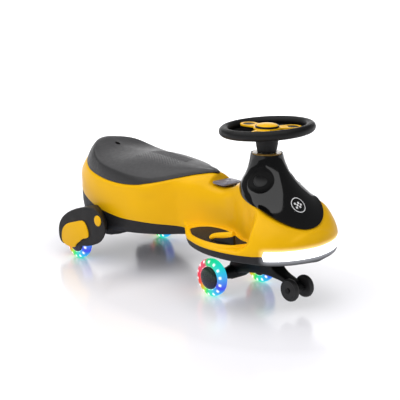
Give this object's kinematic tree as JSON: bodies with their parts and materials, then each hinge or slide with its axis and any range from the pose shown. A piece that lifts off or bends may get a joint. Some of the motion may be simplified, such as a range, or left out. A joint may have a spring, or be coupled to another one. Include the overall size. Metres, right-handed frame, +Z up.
{
  "type": "wiggle car",
  "caption": "Ride-on wiggle car with a saddle seat, round nose, foot decks, a steering wheel that swings a castored fork, and light-up wheels.",
  "frame": {"origin": "middle of the bounding box on the floor under the wheels", "axes": "+X forward to the nose, +Y to the rider's left, +Z up"},
  "size_m": [0.828, 0.32, 0.4193],
  "materials": {
    "yellow_shell": "glossy moulded yellow",
    "black_shell": "fine grained black",
    "seat_grey": "matte, ribbed in the middle",
    "gloss_black": "polished black",
    "nylon": "natural nylon",
    "inner_plastic": "plain moulded",
    "pad_grey": "soft touch grey",
    "foot_rubber": "dark grained",
    "lamp_lens": "frosted white, lit",
    "circuit_board": "lacquered board",
    "cell_sleeve": "printed sleeve",
    "steel": "zinc plated",
    "rim_rubber": "soft matte grip",
    "light_tyre": "clear soft tyre lit from inside",
    "wheel_core": "plain moulded",
    "tip_tyre": "smooth black"
  },
  "bodies": {
    "chassis": {"body_shell": "yellow_shell", "chassis_tub": "black_shell", "seat": "seat_grey", "cowl": "gloss_black", "cowl_cap_left": "black_shell", "cowl_cap_right": "black_shell", "column_housing": "inner_plastic", "column_collar": "yellow_shell", "upper_bush": "nylon", "lower_bush": "nylon", "foot_pad_left": "foot_rubber", "foot_pad_right": "foot_rubber", "foot_stop_left": "black_shell", "foot_stop_right": "black_shell", "foot_stop_cap_left": "yellow_shell", "foot_stop_cap_right": "yellow_shell", "music_pad_base": "black_shell", "music_pad": "pad_grey", "speaker": "inner_plastic", "headlight_lens": "lamp_lens", "headlight_board": "circuit_board", "battery_box": "inner_plastic", "battery_cells": "cell_sleeve", "tub_screws": "steel", "rear_fender_left": "black_shell", "rear_fender_right": "black_shell", "rear_disc_left": "yellow_shell", "rear_disc_right": "yellow_shell", "fender_button_left": "yellow_shell", "fender_button_right": "yellow_shell", "rear_axles": "steel"},
    "steering": {"fork": "black_shell", "thrust_washer": "steel", "steering_shaft": "steel", "stem": "black_shell", "steering_spokes": "yellow_shell", "steering_rim": "rim_rubber", "horn_cup": "black_shell", "horn_switch": "inner_plastic", "front_axle": "steel", "tip_axle": "steel"},
    "horn": {"horn_button": "yellow_shell"},
    "front_wheel_left": {"front_tyre_left": "light_tyre", "front_core_left": "wheel_core", "front_cap_left": "gloss_black"},
    "front_wheel_right": {"front_tyre_right": "light_tyre", "front_core_right": "wheel_core", "front_cap_right": "gloss_black"},
    "rear_wheel_left": {"rear_tyre_left": "light_tyre", "rear_core_left": "wheel_core", "rear_cap_left": "gloss_black"},
    "rear_wheel_right": {"rear_tyre_right": "light_tyre", "rear_core_right": "wheel_core", "rear_cap_right": "gloss_black"},
    "tip_wheel_left": {"tip_wheel_left": "tip_tyre"},
    "tip_wheel_right": {"tip_wheel_right": "tip_tyre"}
  },
  "joints": [
    {"name": "steering_turn", "type": "hinge", "parent": "chassis", "child": "steering", "pos_m": [0.25, 0, 0], "axis": [0, 0, 1], "continuous": true},
    {"name": "horn_press", "type": "slide", "parent": "steering", "child": "horn", "axis": [0, 0, -1], "range_m": [0, 0.0025], "stiffness_N_per_m": 400, "springref_m": -0.002},
    {"name": "front_left_roll", "type": "hinge", "parent": "steering", "child": "front_wheel_left", "pos_m": [0.155, 0.0785, 0.045], "axis": [0, 1, 0], "continuous": true},
    {"name": "front_right_roll", "type": "hinge", "parent": "steering", "child": "front_wheel_right", "pos_m": [0.155, -0.0785, 0.045], "axis": [0, 1, 0], "continuous": true},
    {"name": "rear_left_roll", "type": "hinge", "parent": "chassis", "child": "rear_wheel_left", "pos_m": [-0.2915, 0.137, 0.045], "axis": [0, 1, 0], "continuous": true},
    {"name": "rear_right_roll", "type": "hinge", "parent": "chassis", "child": "rear_wheel_right", "pos_m": [-0.2915, -0.137, 0.045], "axis": [0, 1, 0], "continuous": true},
    {"name": "tip_left_roll", "type": "hinge", "parent": "steering", "child": "tip_wheel_left", "pos_m": [0.354, 0.0235, 0.052], "axis": [0, 1, 0], "continuous": true},
    {"name": "tip_right_roll", "type": "hinge", "parent": "steering", "child": "tip_wheel_right", "pos_m": [0.354, -0.0235, 0.052], "axis": [0, 1, 0], "continuous": true}
  ]
}
